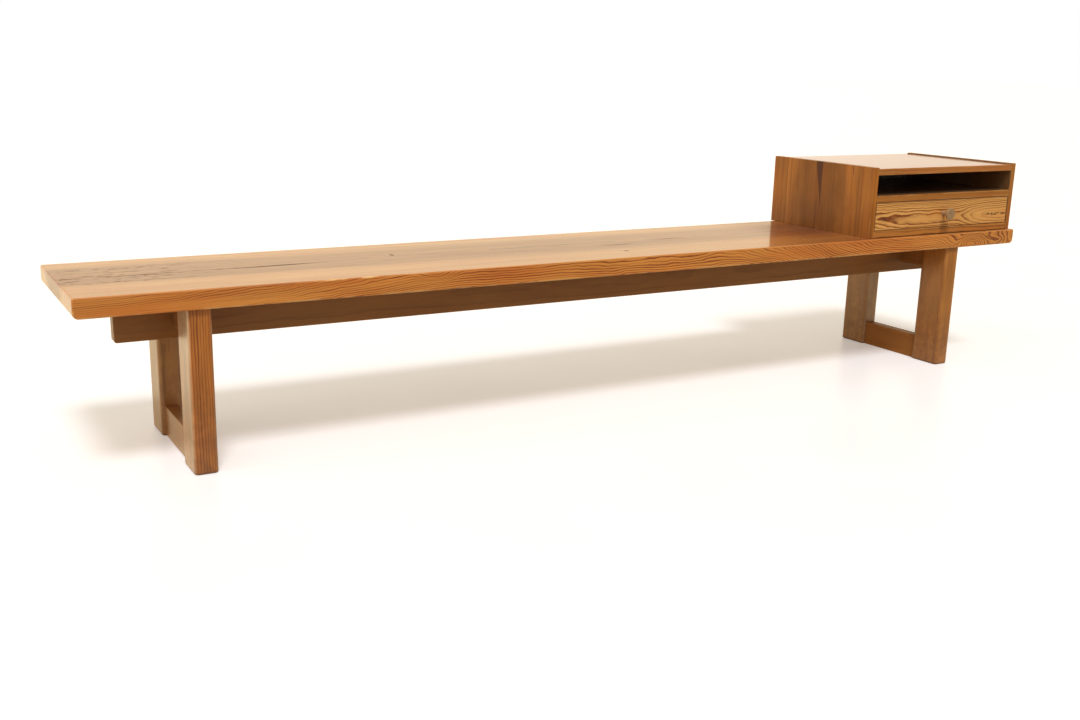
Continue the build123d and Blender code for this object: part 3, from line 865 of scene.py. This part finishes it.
def painted_inside_shade(spot):
    """The inner face is painted darker and greyer, as painted shade inside the shelf."""
    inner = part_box("chest_side_right")[0].x
    return rise(spot.part(0), inner + 0.0005, inner + 0.003, 0.75, 0.0)


wood(
    "chest_side_right", "lacquered pine, chest right side", "Z", 41, pith=(1.25, -0.03), ring=0.0030,
    early=chest_early, late=chest_late, drift=0.006, drift_length=0.5, swirl=0.002,
    contrast=0.7, bands=0.55, rubbed=0.1, coat=0.5, stain=painted_inside_shade, stain_colour=paint(92, 76, 58),
)


# %% Chest top, shelf and base
def painted_shelf_shade(spot):
    """Behind its front edge the board is painted dark grey, as painted shade inside the shelf."""
    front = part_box("chest_divider")[0].y
    return rise(spot.part(1), front + 0.004, front + 0.012, 0.0, 0.8)


wood(
    "chest_top", "lacquered pine, chest top", "X", 42, pith=(0.03, 0.60), ring=0.0034,
    early=paint(190, 120, 52), late=paint(104, 54, 16), drift=0.010, swirl=0.003,
    contrast=0.7, bands=0.35, coat=1.0,
)
wood(
    "chest_divider", "lacquered pine, chest divider", "X", 43, pith=(-0.40, 0.50), ring=0.0034,
    early=paint(180, 116, 46), late=chest_late, drift=0.010, swirl=0.003, contrast=0.7, bands=0.35,
    warmth=0.3, coat=0.5, stain=painted_shelf_shade, stain_colour=paint(70, 66, 58),
)
wood(
    "chest_base", "lacquered pine, chest base", "X", 44, pith=(-0.38, 0.30), ring=0.0034,
    early=paint(200, 128, 52), late=chest_late, drift=0.010, swirl=0.003, contrast=0.7, bands=0.35,
    warmth=0.3, coat=0.5,
)

# %% [markdown]
# ## The drawer front
#
# The drawer front was picked for its figure: the log's pith comes up to the face at the right-hand end,
# so wide dark flames point to the left. The same log as the others can give that. Its pith is only bent
# forwards along the board, and its first rings are made very wide.

# %% The pith and the knot in the drawer front
front_low, front_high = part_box("drawer_front")
front_face = front_low.y
pith_height = 0.3985


def rising_pith(spot):
    """The pith lies about 30 mm off the face at the left end and comes up to it at the right end."""
    along = spot.part(0)
    depth = rise(along, 0.68, 0.80, 0.0308, 0.0263) - rise(along, 0.98, 1.15, 0.0, 0.0263)
    drop = rise(along, 0.69, 0.80, -0.004, 0.003)
    return spot.node("ShaderNodeCombineXYZ", {}, {1: depth, 2: drop})


def pale_pith(spot):
    """The first few rings about the pith are pale."""
    right_end = rise(spot.part(0), 1.02, 1.06)
    return 1 - stripe(spot.part(2), pith_height, 0.020) * right_end * 0.75


def front_stain(spot):
    """A small knot at the flame's tip, the broken brown pith at the right, and painted shade along the
    edges, where the gap to the chest lies.
    """
    along = spot.part(0)
    up = spot.part(2)
    knot = near(spot, (0.723, front_face, 0.401), (0.015, 0.05, 0.009)) * 0.9
    pith = near(spot, (1.135, front_face, pith_height), (0.062, 0.05, 0.0052))
    crumbs = rise(noise(spot, 0.010, 0.004, 3.0), 0.42, 0.56)
    side_gap = along.math("MINIMUM", along - front_low.x, front_high.x - along)
    end_gap = up.math("MINIMUM", up - front_low.z, front_high.z - up)
    # Painted shade: darker within a few millimetres of each edge, standing in for the shadow in the gap.
    gap_shade = rise(up.math("MINIMUM", side_gap, end_gap), 0.0008, 0.0032, 0.7, 0.0)
    return up.math("MINIMUM", knot + pith * crumbs * 2.0 + gap_shade, 0.85)


print("drawer front", [round(size, 3) for size in front_high - front_low], "m")

# %% The drawer front's wood
wood(
    "drawer_front", "lacquered pine, drawer front", "X", 50, pith=(front_face, 0.400), ring=0.0167,
    tightening=2540, early=paint(234, 174, 95), late=paint(128, 64, 22), drift=0.004, drift_length=0.5,
    swirl=0.007, swirl_size=(0.06, 0.022), bend=rising_pith, faint=pale_pith,
    contrast=1.7, clear=0.8, bands=0.2, warmth=0.5, rubbed=0.1, coat=0.3,
    # This colour paints the knot, the pith and the painted shade in the gap alike.
    stain=front_stain, stain_colour=paint(92, 52, 26),
)

# %% [markdown]
# ## The pieces that hardly show
#
# The drawer's box is plain pale softwood, left bare. It slides on waxed beech runners, and thin plywood
# closes its bottom and the chest's back. One flat colour would pass while the drawer is shut. Pulled out
# it lies in full light, so these pieces get the same recipe as the others, without the lacquer.

# %% Drawer box and runners
box_seeds = {"drawer_side_left": 60, "drawer_side_right": 61, "drawer_back": 62}
for name, seed in box_seeds.items():
    lengthwise = name == "drawer_back"
    wood(
        name, f"bare softwood, {name}", "X" if lengthwise else "Y", seed,
        pith=(0.3 if lengthwise else 1.1, 0.30), ring=0.0030,
        early=paint(204, 174, 128), late=paint(168, 128, 84), contrast=0.8, bands=0.2,
        gloss=0.62, coat=0.0,
    )

runner_seeds = {"drawer_runner_left": 63, "drawer_runner_right": 64}
for name, seed in runner_seeds.items():
    wood(
        name, f"waxed beech, {name}", "Y", seed, pith=(0.9, 0.30), ring=0.0025,
        early=paint(186, 142, 96), late=paint(158, 112, 72), contrast=0.5, bands=0.2,
        gloss=0.5, coat=0.1,
    )


# %% Panels and dowels
def painted_back_shade(spot):
    """The face that closes the chest is painted grey, as painted shade inside it, and the one behind is
    bare brown board.
    """
    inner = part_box("chest_back")[0].y
    return rise(spot.part(1), inner + 0.0005, inner + 0.002, 0.85, 0.0)


wood(
    "drawer_bottom", "aged plywood, drawer_bottom", "X", 70, pith=(0.2, 0.9), ring=0.004,
    early=paint(186, 154, 110), late=paint(156, 118, 78), contrast=0.4, bands=0.3, gloss=0.6, coat=0.0,
)
wood(
    "chest_back", "aged plywood, chest_back", "X", 72, pith=(0.2, 0.9), ring=0.004,
    early=paint(158, 118, 76), late=paint(128, 92, 58), contrast=0.4, bands=0.3, gloss=0.6, coat=0.0,
    stain=painted_back_shade, stain_colour=paint(128, 130, 126),
)
wood(
    "chest_dowels", "beech dowels", "X", 71, pith=(0.2, 0.9), ring=0.002,
    early=paint(186, 146, 102), late=paint(162, 120, 80), contrast=0.4, bands=0.2, gloss=0.6, coat=0.0,
)

# %% [markdown]
# ## Metal
#
# The knob is turned metal, once plated and now a dull warm grey with darker blots. The screws and pins
# are zinc-plated steel, drawn and headed, so their shine is broken by fine scratches. One even metallic
# colour would look new. Here blots and scratches together are the tarnish, and it both darkens the metal
# and roughens it, as the real thing does.


# %% Knob and screws
def metal(name, bright, dull, roughness, metallic, blot_size):
    """Metal with blots of tarnish: duller and rougher where it is dark."""
    material = bpy.data.materials.new(name)
    spot = empty_tree(material).node("ShaderNodeTexCoord", {}, {}, "Object")
    blots = noise(spot, blot_size, blot_size, 4.0, 0.6)
    scratches = noise(spot, 0.0004, 0.003)
    tarnish = rise(blots * 0.7 + scratches * 0.3, 0.35, 0.65)
    colour = blend(tarnish, bright, dull)
    rough = rise(tarnish, 0.0, 1.0, roughness - 0.08, roughness + 0.10)
    bump = spot.node("ShaderNodeBump", {}, {"Strength": 0.1, "Distance": 0.0001, "Height": scratches})
    finish = {"Base Color": colour, "Roughness": rough, "Metallic": metallic, "Normal": bump}
    surface = spot.node("ShaderNodeBsdfPrincipled", {}, finish)
    spot.node("ShaderNodeOutputMaterial", {}, {"Surface": surface})
    return material


knob = metal("aged nickel", paint(186, 152, 112), paint(164, 130, 92), 0.55, 0.35, 0.006)
dress("drawer_knob", knob)
steel = metal("zinc-plated steel", paint(190, 190, 186), paint(140, 138, 132), 0.42, 0.9, 0.002)
for node in ("seat_screws", "lap_screws", "back_pins", "runner_screws", "bottom_pins", "knob_screw"):
    dress(node, steel)
